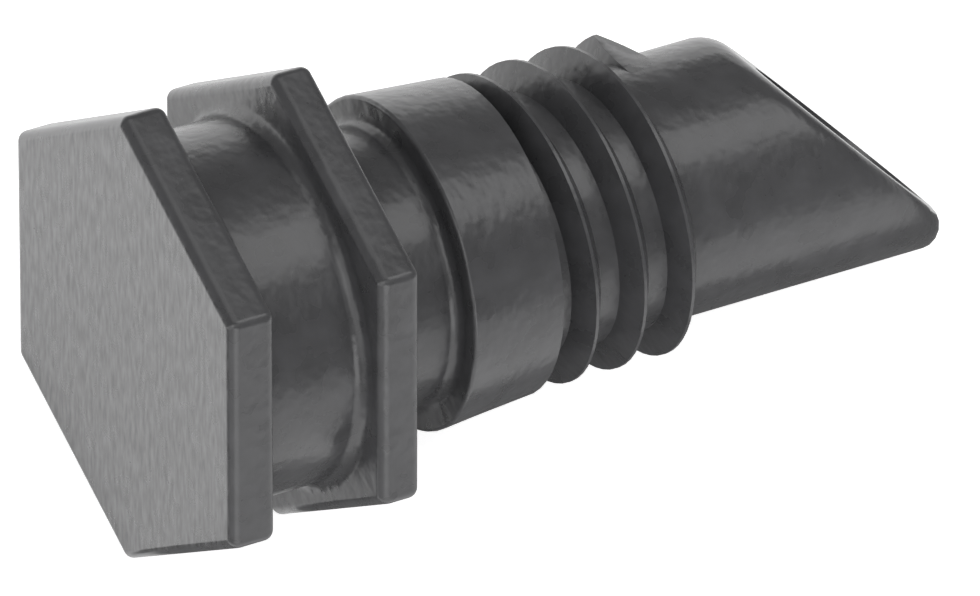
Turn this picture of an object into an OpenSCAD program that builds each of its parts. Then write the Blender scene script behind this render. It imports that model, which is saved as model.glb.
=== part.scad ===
// Tube end plug: one moulded piece that screws into the end of a small soft tube.
// It is drawn on its own axis, head at the bottom, and then laid down as it rests:
// on a flat of the rear hexagon plate and on the lip of its slanted end.

/* [Hexagon grip plates] */
// Width of both plates across flats
plate_flats = 7.8; // [7.2:0.1:9]
// Thickness of the front plate, the head
head_t = 0.9; // [0.6:0.05:1.4]
// Gap between the two plates, the length of the first neck
grip_gap = 2.1; // [1.4:0.1:3]
// Thickness of the rear plate
rear_t = 0.8; // [0.6:0.05:1.4]
// Radius on every edge and corner of the plates
plate_edge_r = 0.2; // [0.1:0.01:0.25]

/* [Necks] */
// Diameter of the neck between the plates
neck_d = 6.7; // [5:0.1:6.8]
// Radius where the first neck meets the plates
neck_fillet_r = 0.25; // [0.1:0.05:0.3]
// Diameter of the neck between the rear plate and the collar
stem_d = 5.1; // [4.8:0.1:5.5]
// Length of that neck
stem_l = 1.55; // [1:0.05:2.5]
// Radius where that neck meets the plate and the collar
stem_fillet_r = 0.2; // [0.05:0.05:0.25]

/* [Collar] */
// Diameter of the collar at its head end
collar_d = 6.15; // [6:0.05:6.6]
// Diameter of the collar at its thread end
collar_end_d = 5.85; // [5.6:0.05:6]
// Length of the collar
collar_l = 1.9; // [1.4:0.1:3]
// Radius on the edge at its head end
collar_edge_r = 0.08; // [0.04:0.02:0.2]

/* [Thread] */
// Diameter over the crests
crest_d = 5.8; // [5.4:0.02:6.2]
// Axial distance from one turn to the next, right hand
pitch = 0.98; // [0.9:0.02:1.2]
// How far the ridge's foot reaches from under the crest towards the head, its steep side
ridge_head_w = 0.24; // [0.2:0.02:0.36]
// How far its foot reaches towards the tip, its long side
ridge_tip_w = 0.36; // [0.3:0.02:0.46]
// Width of the flat on the crest
crest_w = 0.06; // [0.02:0.01:0.12]
// Distance of the last crest from the collar
thread_l = 3.4; // [2.4:0.05:4.5]

/* [Barrel] */
// Outside diameter, pushed or screwed into the tube
barrel_d = 4.76; // [4.4:0.02:5]
// Length of the barrel beyond the collar, to its tip before rounding
barrel_l = 9.7; // [9:0.05:13]
// Slant of the cut end, from square
slant = 44; // [30:1:50]
// Width of the rounding along the rim of the cut end, measured straight across it
rim_w = 0.78; // [0.3:0.02:0.8]
// Diameter of the core hole
core_d = 3.1; // [2.6:0.05:3.4]
// Solid plastic left between the head's face and the core hole
core_floor = 4.2; // [3.5:0.1:6]

/* [Hidden] */

body_color = "#3f4042";

// Stations along the axis, from the head's face
rear_z = head_t + grip_gap;
stem_z = rear_z + rear_t;
collar_z = stem_z + stem_l;
thread_z = collar_z + collar_l;
tip_z = thread_z + barrel_l;

// How far one solid is sunk into its neighbour, or a cutter runs past the surface it cuts
sink = 0.1;

// Slanted end: its plane crosses the axis at cut_z and reaches tip_z at the low side
barrel_r = barrel_d / 2;
cut_z = tip_z - barrel_r * tan(slant);

// Hexagon: corner circles of the edge radius stand at this distance from the axis
corner_at = (plate_flats / 2 - plate_edge_r) / cos(30);

// Half section of a plate's rim, from the line of the corner circles outwards
module rim_section(thick) {
    intersection() {
        square([plate_edge_r, thick]);
        union() {
            translate([0, plate_edge_r]) square([plate_edge_r, thick - 2 * plate_edge_r]);
            translate([0, plate_edge_r]) circle(r = plate_edge_r, $fn = 24);
            translate([0, thick - plate_edge_r]) circle(r = plate_edge_r, $fn = 24);
        }
    }
}

// Hexagon plate with all its edges and corners rounded
module hex_plate(thick) {
    hull() for (k = [0:5]) {
        rotate([0, 0, 60 * k]) translate([corner_at, 0, 0]) rotate_extrude($fn = 30) rim_section(thick);
    }
}

// A round neck of radius r from z0 to z1 with a concave radius f at both ends
module neck(r, z0, z1, f) {
    rotate_extrude($fn = 96) difference() {
        translate([0, z0 - sink]) square([r + f, z1 - z0 + 2 * sink]);
        translate([r, z0 + f]) square([f + 1, z1 - z0 - 2 * f]);
        translate([r + f, z0 + f]) circle(r = f, $fn = 48);
        translate([r + f, z1 - f]) circle(r = f, $fn = 48);
    }
}

// Collar: a slight taper towards the thread, with a rounded edge at its head end
module collar() {
    edge = [for (a = [0:15:90]) collar_edge_r * [sin(a), 1 - cos(a)] + [collar_d / 2 - collar_edge_r, 0]];
    translate([0, 0, collar_z]) rotate_extrude($fn = 96)
        polygon([[0, 0], each edge, [collar_end_d / 2, collar_l], [0, collar_l]]);
}

// Thread: a ridge with a triangular section, swept along a right-hand helix
steps = 60;
ridge_turns = (thread_l + ridge_head_w + ridge_tip_w) / pitch;
crest_r = crest_d / 2;
thread_end_z = thread_z + thread_l;
foot_r = barrel_r - sink;
foot_drop = (crest_r - foot_r) / (crest_r - barrel_r);
foot_head = crest_w / 2 + (ridge_head_w - crest_w / 2) * foot_drop;
foot_tip = crest_w / 2 + (ridge_tip_w - crest_w / 2) * foot_drop;

function ridge_ring(a) = let (z = thread_end_z + pitch * a / 360, c = cos(a), s = sin(a)) [
    [foot_r * c, foot_r * s, z - foot_head],
    [foot_r * c, foot_r * s, z + foot_tip],
    [crest_r * c, crest_r * s, z + crest_w / 2],
    [crest_r * c, crest_r * s, z - crest_w / 2]
];

module ridge() {
    n = ceil(ridge_turns * steps);
    points = [for (i = [0:n]) each ridge_ring(-i * 360 / steps)];
    faces = [
        [3, 2, 1, 0],
        for (i = [0:n - 1], k = [0:3]) let (a = 4 * i + k, b = 4 * i + (k + 1) % 4) [a, b, b + 4, a + 4],
        [4 * n, 4 * n + 1, 4 * n + 2, 4 * n + 3]
    ];
    polyhedron(points = points, faces = faces, convexity = 10);
}

// The last turn ends in a flat, left by the mould almost level with the side of the barrel
shutoff = 0.005;

module thread() {
    difference() {
        ridge();
        translate([barrel_r - shutoff, -crest_r, thread_end_z - pitch / 2]) cube([crest_r, crest_d, 2 * pitch]);
    }
}

// Rounding of the slanted rim: a ring whose inner strips touch an arc from the barrel to the cut.
// The arc keeps its width rim_w all the way round, so its radius grows where the corner is blunt.
// It turns from the barrel's outward direction u to the cut's, and w is square to u in its plane.
rim_steps = 96;
rim_strips = 6;
cut_normal = [sin(slant), 0, cos(slant)];

function rim_turn(a) = acos(cos(a) * sin(slant));
function rim_r(a) = rim_w / (2 * sin(rim_turn(a) / 2));
function rim_centre(a) = let (r = rim_r(a), q = barrel_r - r)
    [q * cos(a), q * sin(a), cut_z - (r + sin(slant) * q * cos(a)) / cos(slant)];

// A point of the arc's plane, x along u and y along w from the arc's centre
function rim_point(a, p) = let (u = [cos(a), sin(a), 0], t = rim_turn(a))
    rim_centre(a) + p[0] * u + p[1] * (cut_normal - cos(t) * u) / sin(t);

// Corners between the strips, just outside the arc
function rim_arc(a) = let (h = rim_turn(a) / (2 * rim_strips), r = rim_r(a) / cos(h))
    [for (k = [1:rim_strips - 1]) r * [cos(2 * h * k), sin(2 * h * k)]];

// The whole section of the ring: first and last strips run past the surfaces that they meet
function rim_ring(a) =
    let (r = rim_r(a), t = rim_turn(a), h = t / (2 * rim_strips), reach = (sink + r * (1 - cos(h))) / sin(h))
    let (first = r * [cos(h), sin(h)] + reach * [sin(h), -cos(h)])
    let (last = r * [cos(t - h), sin(t - h)] + reach * [-sin(t - h), cos(t - h)])
    let (outer = (r + sink) / cos(t / 2) * [cos(t / 2), sin(t / 2)])
    [for (p = [first, each rim_arc(a), last, outer]) rim_point(a, p)];

module rim_cutter() {
    m = rim_strips + 2;
    points = [for (i = [0:rim_steps - 1]) each rim_ring(360 * i / rim_steps)];
    total = m * rim_steps;
    faces = [for (i = [0:rim_steps - 1], k = [0:m - 1])
        let (a = m * i + k, b = m * i + (k + 1) % m) [(a + m) % total, (b + m) % total, b, a]];
    polyhedron(points = points, faces = faces, convexity = 10);
}

module barrel() {
    difference() {
        translate([0, 0, thread_z - sink]) cylinder(d = barrel_d, h = barrel_l + sink, $fn = 96);
        translate([0, 0, cut_z]) rotate([0, slant, 0]) translate([-20, -20, 0]) cube([40, 40, 20]);
        rim_cutter();
    }
}

module plug_on_axis() {
    difference() {
        union() {
            hex_plate(head_t);
            neck(neck_d / 2, head_t, rear_z, neck_fillet_r);
            translate([0, 0, rear_z]) hex_plate(rear_t);
            neck(stem_d / 2, stem_z, collar_z, stem_fillet_r);
            collar();
            barrel();
            thread();
        }
        translate([0, 0, core_floor]) cylinder(d = core_d, h = tip_z, $fn = 96);
    }
}

// Resting pose: the flat that lies down is this far round from the low side of the slant
flat_turn = 30;

// The rear plate's flat touches the floor with its rear edge, whose round has its centre here
edge_x = plate_flats / 2 - plate_edge_r;
edge_z = stem_z - plate_edge_r;

// Corners of the rounded lip, as [distance towards the floor, distance along the axis]
down = [cos(180 + flat_turn), sin(180 + flat_turn), 0];
lip = [for (i = [0:rim_steps - 1], p = rim_arc(360 * i / rim_steps))
    let (q = rim_point(360 * i / rim_steps, p)) [q * down, q[2]]];

// The floor's pitch against the axis, halved in on until the lip and the plate both touch it
function lip_drop(a) = max([for (p = lip) p * [cos(a), sin(a)]]);
function plate_drop(a) = [edge_x, edge_z] * [cos(a), sin(a)] + plate_edge_r;
function settle(low, high, passes) = let (mid = (low + high) / 2)
    passes == 0 ? mid : lip_drop(mid) < plate_drop(mid) ? settle(mid, high, passes - 1) : settle(low, mid, passes - 1);

rest_pitch = settle(0, 30, 24);

// Ends of the lying plug along the floor, before it is moved
x_first = [-edge_x, plate_edge_r] * [sin(rest_pitch), cos(rest_pitch)] - plate_edge_r;
x_last = max([for (p = lip) p * [-sin(rest_pitch), cos(rest_pitch)]]);

module plug() {
    color(body_color) translate([-(x_first + x_last) / 2, 0, plate_drop(rest_pitch)])
        rotate([0, 90 + rest_pitch, 0]) rotate([0, 0, 180 - flat_turn]) plug_on_axis();
}

plug();
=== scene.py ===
import math

import bpy
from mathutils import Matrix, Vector


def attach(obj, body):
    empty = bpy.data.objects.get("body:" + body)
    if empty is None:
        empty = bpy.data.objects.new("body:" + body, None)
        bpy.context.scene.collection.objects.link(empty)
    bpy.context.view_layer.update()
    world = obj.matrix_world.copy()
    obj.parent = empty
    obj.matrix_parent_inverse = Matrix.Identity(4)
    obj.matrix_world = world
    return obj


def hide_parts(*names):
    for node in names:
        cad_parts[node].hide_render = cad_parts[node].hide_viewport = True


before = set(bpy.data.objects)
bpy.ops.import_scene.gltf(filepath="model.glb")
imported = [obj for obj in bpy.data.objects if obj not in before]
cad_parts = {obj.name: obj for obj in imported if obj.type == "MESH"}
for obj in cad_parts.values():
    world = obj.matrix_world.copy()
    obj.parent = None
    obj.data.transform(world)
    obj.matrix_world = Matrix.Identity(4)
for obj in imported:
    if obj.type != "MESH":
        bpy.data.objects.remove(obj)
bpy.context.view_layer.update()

# Camera: a long lens a third of a metre away, looking down on the lying plug from beside its head,
# rolled so that the hexagon plates stand upright in the frame.
CAMERA_PLACE = (-0.1032864, -0.1237614, 0.270275)
CAMERA_TURN_DEG = (29.8925, -8.1857, -25.9344)
LENS_MM = 646.72
SENSOR_MM = 36

camera_turn = [math.radians(angle) for angle in CAMERA_TURN_DEG]
bpy.ops.object.camera_add(location=CAMERA_PLACE, rotation=camera_turn)
camera = bpy.context.object
camera.name = "camera"
camera.data.sensor_width = SENSOR_MM
camera.data.lens = LENS_MM
camera.data.clip_start = 0.01
camera.data.clip_end = 10
bpy.context.scene.camera = camera
bpy.context.scene.view_settings.view_transform = "Standard"

# Plug: the whole part, from the head's hexagon plate to the slanted tip, moulded in polyethylene in
# one shot and fixed to nothing. It is the CAD node's own shape with the seams between its faces
# merged, and its round faces get the normals of the true round, so the light runs on unbroken.

# Its axis as part.scad lays it down: the middle of the head's face, and the dip towards the tip
AXIS_START_MM = (-7.792705, 0, 4.320380)
AXIS_PITCH_DEG = 7.1697
# From the low side of the slant round to the flat that the plug lies on, and the slant from square
FLAT_TURN_DEG = 30
SLANT_DEG = 44

# Points closer than this are one corner
MERGE_MM = 0.002
# A face is round where its middle is near the axis and its normal hardly leans round it
ROUND_WITHIN_MM = 3.5
ROUND_LEAN = 0.12
# Past the thread's end only the barrel's side is round, whose normal hardly leans along the axis
THREAD_END_MM = 10.55
BARREL_LEAN = 0.01
# Faces that meet at less than this are shaded as one
SMOOTH_BELOW_DEG = 35
# Only the plates' rims reach further out than this
PLATE_RIM_MM = 3.65
# The share of a rounding's turn that is reshaped, and by which power: above 1 it turns late
ROUNDING_FROM = 0.02
ROUNDING_TO = 0.98
LIP_POWER = 2.0
PLATE_RIM_POWER = 0.6

axis_start = Vector(AXIS_START_MM) / 1000
axis_pitch = math.radians(AXIS_PITCH_DEG)
axis = Vector((math.cos(axis_pitch), 0, -math.sin(axis_pitch)))


def from_axis(point):
    """The way out from the axis to the point, and its distances from axis and head in mm."""
    height = (point - axis_start).dot(axis)
    flat = (point - axis_start) - height * axis
    return flat.normalized(), flat.length * 1000, height * 1000


def turned_normals(mesh):
    """A normal for each face corner, which on a round face turns with the corner round the axis."""
    normals = [None] * len(mesh.loops)
    for face in mesh.polygons:
        out, radius, height = from_axis(face.center)
        side, up = face.normal.dot(out), face.normal.dot(axis)
        lean = face.normal.dot(axis.cross(out))
        near = radius < ROUND_WITHIN_MM and abs(lean) < ROUND_LEAN
        is_round = near and (height < THREAD_END_MM or abs(up) < BARREL_LEAN)
        for loop in face.loop_indices:
            if is_round:
                here = from_axis(mesh.vertices[mesh.loops[loop].vertex_index].co)[0]
                turned = side * here + up * axis + lean * axis.cross(here)
                normals[loop] = turned.normalized()
            else:
                normals[loop] = face.normal.copy()
    return normals


def meeting_corners(mesh):
    """The face corners that meet at each vertex, each with its face's area."""
    meeting = [[] for _ in mesh.vertices]
    for face in mesh.polygons:
        for loop in face.loop_indices:
            meeting[mesh.loops[loop].vertex_index].append((loop, face.area))
    return meeting


def shared_normals(normals, meeting):
    """The same normals, shared by area where faces meet smoothly."""
    limit = math.cos(math.radians(SMOOTH_BELOW_DEG))
    shared = [None] * len(normals)
    for corners in meeting:
        for loop, _ in corners:
            total = Vector((0, 0, 0))
            for other, area in corners:
                if normals[loop].dot(normals[other]) > limit:
                    total += area * normals[other]
            shared[loop] = total.normalized()
    return shared


def reshape_lip(mesh, normals, meeting):
    """Makes the lip's rounding turn slowly from the barrel's side and tightly into the slant."""
    down = Vector((-math.sin(axis_pitch), 0, -math.cos(axis_pitch)))
    turn = math.radians(180 - FLAT_TURN_DEG)
    high_side = math.cos(turn) * down + math.sin(turn) * Vector((0, 1, 0))
    slant = math.radians(SLANT_DEG)
    cut = math.sin(slant) * high_side + math.cos(slant) * axis
    for vertex, corners in enumerate(meeting):
        out, _, height = from_axis(mesh.vertices[vertex].co)
        if height <= THREAD_END_MM:
            continue
        for loop, _ in corners:
            part = out.angle(normals[loop]) / out.angle(cut)
            if ROUNDING_FROM < part < ROUNDING_TO and normals[loop].dot(out) > 0:
                normals[loop] = out.slerp(cut, part ** LIP_POWER)


def reshape_plate_rims(mesh, normals, meeting):
    """Makes the plates' roundings turn tightly out of the flat face and slowly into the side."""
    for vertex, corners in enumerate(meeting):
        if from_axis(mesh.vertices[vertex].co)[1] <= PLATE_RIM_MM:
            continue
        for loop, _ in corners:
            flat_face = axis if normals[loop].dot(axis) > 0 else -axis
            part = normals[loop].angle(flat_face) / (math.pi / 2)
            if ROUNDING_FROM < part < ROUNDING_TO:
                side = (normals[loop] - normals[loop].dot(axis) * axis).normalized()
                normals[loop] = flat_face.slerp(side, part ** PLATE_RIM_POWER)


# The copy is merged before it is shaded, because a CAD node's mesh is loose triangles
bpy.ops.object.select_all(action="DESELECT")
cad_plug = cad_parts["plug"]
cad_plug.select_set(True)
bpy.context.view_layer.objects.active = cad_plug
bpy.ops.object.duplicate()
plug = bpy.context.object
plug.name = "plug_moulding"
bpy.ops.object.mode_set(mode="EDIT")
bpy.ops.mesh.select_all(action="SELECT")
bpy.ops.mesh.customdata_custom_splitnormals_clear()
bpy.ops.mesh.remove_doubles(threshold=MERGE_MM / 1000)
bpy.ops.object.mode_set(mode="OBJECT")
bpy.ops.object.shade_smooth()

meeting = meeting_corners(plug.data)
normals = shared_normals(turned_normals(plug.data), meeting)
reshape_lip(plug.data, normals, meeting)
reshape_plate_rims(plug.data, normals, meeting)
plug.data.normals_split_custom_set(normals)


def linear(hex_colour):
    """sRGB hex to the linear colour that the shaders take."""
    parts = [int(hex_colour[i:i + 2], 16) / 255 for i in (1, 3, 5)]
    return [p / 12.92 if p <= 0.04045 else ((p + 0.055) / 1.055) ** 2.4 for p in parts] + [1]


def new_material(name, values):
    """A material with these values on its shader's own sockets, and the shader."""
    material = bpy.data.materials.new(name)
    material.use_nodes = True
    shader = material.node_tree.nodes["Principled BSDF"]
    for socket, value in values.items():
        shader.inputs[socket].default_value = value
    return material, shader


def add_node(material, kind, inputs, **settings):
    """One shader node with its settings and its inputs, each a value or another node's output."""
    node = material.node_tree.nodes.new(kind)
    for name, value in settings.items():
        setattr(node, name, value)
    for name, value in inputs.items():
        if isinstance(value, bpy.types.NodeSocket):
            material.node_tree.links.new(value, node.inputs[name])
        else:
            node.inputs[name].default_value = value
    return node


# Moulded polyethylene: dark grey right through, with a satin skin that copies the mould. The skin
# sinks in shallow waves as it cools, which breaks every reflection into ragged strokes.
WAVE_ALONG_MM = 0.2
WAVE_ROUND_MM = 0.25
WAVE_DEPTH_MM = 0.0125
# The head's flat face hardly sinks, and the waves reach their full depth between these distances
# behind it
WAVES_GROW_MM = (0.1, 0.35)
WAVES_AT_HEAD = 0.15
# Colour and gloss vary a little from place to place
SHADE_MM = 0.6
SKIN_DARK = "#2c2c2d"
SKIN_LIGHT = "#474749"
ROUGHNESS = (0.24, 0.32)
# The mould's flat for the end face was ground, so that face alone keeps upright light and dark
# streaks. Real grinding lines are some hundredths of a millimetre wide, too fine for the render, so
# they are drawn as coarse as the streaks that show in the photo.
LINE_MM = 0.1
LINE_LENGTH_MM = 0.42
LINE_DARK = "#1f1f20"
LINE_LIGHT = "#4d4d4e"
LINE_CONTRAST = (0.3, 0.7)
# The end face's lines give way to the skin's colour between these depths
END_FACE_MM = (0.003, 0.03)


def moulded_polyethylene():
    material, shader = new_material("moulded_polyethylene", {"IOR": 1.51})
    links = material.node_tree.links
    place = add_node(material, "ShaderNodeTexCoord", {})
    # laid along the plug: Z runs from the end face to the tip, X points to the slant's low side
    along = add_node(material, "ShaderNodeMapping", {
        "Vector": place.outputs["Object"], "Location": axis_start,
        "Rotation": (0, math.radians(90) + axis_pitch, 0)}, vector_type="TEXTURE")
    depth = add_node(material, "ShaderNodeSeparateXYZ", {"Vector": along.outputs["Vector"]})

    # the waves in the skin
    stretched = add_node(material, "ShaderNodeMapping", {
        "Vector": along.outputs["Vector"],
        "Scale": (WAVE_ROUND_MM / 1000, WAVE_ROUND_MM / 1000, WAVE_ALONG_MM / 1000)},
        vector_type="TEXTURE")
    waves = add_node(material, "ShaderNodeTexNoise", {
        "Vector": stretched.outputs["Vector"], "Scale": 1, "Detail": 1, "Roughness": 0.4})
    sinking = add_node(material, "ShaderNodeMapRange", {
        "Value": depth.outputs["Z"], "From Min": WAVES_GROW_MM[0] / 1000,
        "From Max": WAVES_GROW_MM[1] / 1000, "To Min": WAVES_AT_HEAD, "To Max": 1})
    sunk = add_node(material, "ShaderNodeBump", {
        "Height": waves.outputs["Fac"], "Strength": sinking.outputs["Result"],
        "Distance": WAVE_DEPTH_MM / 1000})
    links.new(sunk.outputs["Normal"], shader.inputs["Normal"])

    # the end face's grinding lines, which run from flat to flat of the hexagon
    upright = add_node(material, "ShaderNodeMapping", {
        "Vector": along.outputs["Vector"], "Rotation": (0, 0, math.radians(-FLAT_TURN_DEG)),
        "Scale": (LINE_LENGTH_MM / 1000, LINE_MM / 1000, LINE_MM / 1000)},
        vector_type="TEXTURE")
    lines = add_node(material, "ShaderNodeTexNoise", {
        "Vector": upright.outputs["Vector"], "Scale": 1, "Detail": 2})
    parted = add_node(material, "ShaderNodeMapRange", {
        "Value": lines.outputs["Fac"], "From Min": LINE_CONTRAST[0], "From Max": LINE_CONTRAST[1]})
    lined = add_node(material, "ShaderNodeMixRGB", {
        "Fac": parted.outputs["Result"], "Color1": linear(LINE_DARK), "Color2": linear(LINE_LIGHT)})

    # the skin's own colour and gloss, and the lined colour on the end face alone
    shade = add_node(material, "ShaderNodeTexNoise", {
        "Vector": along.outputs["Vector"], "Scale": 1000 / SHADE_MM, "Detail": 3})
    tint = add_node(material, "ShaderNodeMixRGB", {
        "Fac": shade.outputs["Fac"], "Color1": linear(SKIN_DARK), "Color2": linear(SKIN_LIGHT)})
    on_side = add_node(material, "ShaderNodeMapRange", {
        "Value": depth.outputs["Z"], "From Min": END_FACE_MM[0] / 1000,
        "From Max": END_FACE_MM[1] / 1000})
    colour = add_node(material, "ShaderNodeMixRGB", {
        "Fac": on_side.outputs["Result"], "Color1": lined.outputs["Color"],
        "Color2": tint.outputs["Color"]})
    gloss = add_node(material, "ShaderNodeMapRange", {
        "Value": shade.outputs["Fac"], "To Min": ROUGHNESS[0], "To Max": ROUGHNESS[1]})
    links.new(colour.outputs["Color"], shader.inputs["Base Color"])
    links.new(gloss.outputs["Result"], shader.inputs["Roughness"])
    return material


plug.data.materials.clear()
plug.data.materials.append(moulded_polyethylene())
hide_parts("plug")
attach(plug, "root")

# Floor: the matt top of a light table in opal acrylic, which glows a little, so that the ground
# comes out white, as in the photo, with only a trace of shadow.
FLOOR_M = 2
FLOOR_GLOW = 0.68
OPAL = "#f2f2f2"
WHITE = (1, 1, 1, 1)

bpy.ops.object.select_all(action="DESELECT")
bpy.ops.mesh.primitive_plane_add(size=FLOOR_M, location=(0, 0, 0))
floor = bpy.context.object
floor.name = "floor"
opal_acrylic, _ = new_material("opal_acrylic", {
    "Base Color": linear(OPAL), "Roughness": 0.9,
    "Emission Color": WHITE, "Emission Strength": FLOOR_GLOW})
floor.data.materials.append(opal_acrylic)

# Cards: grey strips just over the table, out of the camera's sight and casting no shadow, which
# darken what the plug mirrors from below: painted shade, seen only in its reflections. The one at
# the grip plates is narrower, so that light still comes up between them.
PAINTED_SHADE_GREY = "#8c8c8c"
CARD_HEIGHT_MM = 0.02

# The cards' grey is painted shade: it shows only in the plug's reflections.
painted_shade_grey, _ = new_material("painted_shade_grey", {"Base Color": linear(PAINTED_SHADE_GREY), "Roughness": 1})


def painted_shade_card(name, left_mm, right_mm, front_mm, back_mm):
    """A grey strip just over the table that paints shade, seen only in reflections."""
    middle = ((left_mm + right_mm) / 2000, (front_mm + back_mm) / 2000, CARD_HEIGHT_MM / 1000)
    bpy.ops.object.select_all(action="DESELECT")
    bpy.ops.mesh.primitive_plane_add(size=1, location=middle)
    card = bpy.context.object
    card.name = name
    card.scale = ((right_mm - left_mm) / 1000, (back_mm - front_mm) / 1000, 1)
    bpy.ops.object.transform_apply(location=True, scale=True)
    card.visible_camera = False
    card.visible_shadow = False
    card.visible_diffuse = False
    card.data.materials.append(painted_shade_grey)


# under the barrel and the thread, under the plates, and beyond the rounded tip, as painted shadow
# where the plug shades the table
painted_shade_card("barrel_card", -4.0, 11.5, -5.7, -1.0)
painted_shade_card("plate_card", -8.2, -4.0, -6.5, -2.6)
painted_shade_card("tip_card", 11.5, 26, -6.0, 1.5)
# before the head, as painted shade in reflections: the upright edges of the plates mirror the
# first, the head's low edge the second
painted_shade_card("head_card", -60, -15, -45, -4.5)
painted_shade_card("corner_card", -11.5, -8.2, -5.6, -2.3)

# Light: a dim white room, soft boxes all round, and a glowing acrylic sheet on the table before the
# head, which its end face mirrors. The band along the barrel is the box beyond its tip. The low one
# in front lights the foot of the head's edges, and the widest fills the faces turned to the head.
ROOM_LIGHT = 0.37
PAD_GLOW = 1.11
PAD_MIDDLE_MM = (-38.8, 30, 0.01)
PAD_SIZE_MM = (60, 80)


def soft_box(name, azimuth, elevation, strength, width=30):
    """A soft lamp far off in the given direction, which fills an angle of width degrees."""
    turn = (0, math.radians(90 - elevation), math.radians(azimuth))
    bpy.ops.object.light_add(type="SUN", rotation=turn)
    lamp = bpy.context.object
    lamp.name = name
    lamp.data.energy = strength
    lamp.data.angle = math.radians(width)


soft_box("over_camera", 240, 62, 0.33)
soft_box("camera_right", 300, 55, 0.12)
soft_box("camera_left", 212, 35, 0.95, 60)
soft_box("low_front", 266, 12, 0.72, 34)
soft_box("head_side", 180, 8, 0.5)
soft_box("beyond_tip", 2, 57, 0.63, 34)
soft_box("behind", 60, 62, 0.21)

bpy.ops.object.select_all(action="DESELECT")
pad_middle = [mm / 1000 for mm in PAD_MIDDLE_MM]
bpy.ops.mesh.primitive_plane_add(size=1, location=pad_middle)
pad = bpy.context.object
pad.name = "light_pad"
pad.scale = (PAD_SIZE_MM[0] / 1000, PAD_SIZE_MM[1] / 1000, 1)
bpy.ops.object.transform_apply(location=True, scale=True)
pad.visible_camera = False
pad.visible_shadow = False
lit_acrylic, _ = new_material("lit_acrylic", {
    "Base Color": linear(OPAL), "Emission Color": WHITE, "Emission Strength": PAD_GLOW})
pad.data.materials.append(lit_acrylic)

room = bpy.data.worlds.new("studio")
room.use_nodes = True
room.node_tree.nodes["Background"].inputs["Color"].default_value = WHITE
room.node_tree.nodes["Background"].inputs["Strength"].default_value = ROOM_LIGHT
bpy.context.scene.world = room
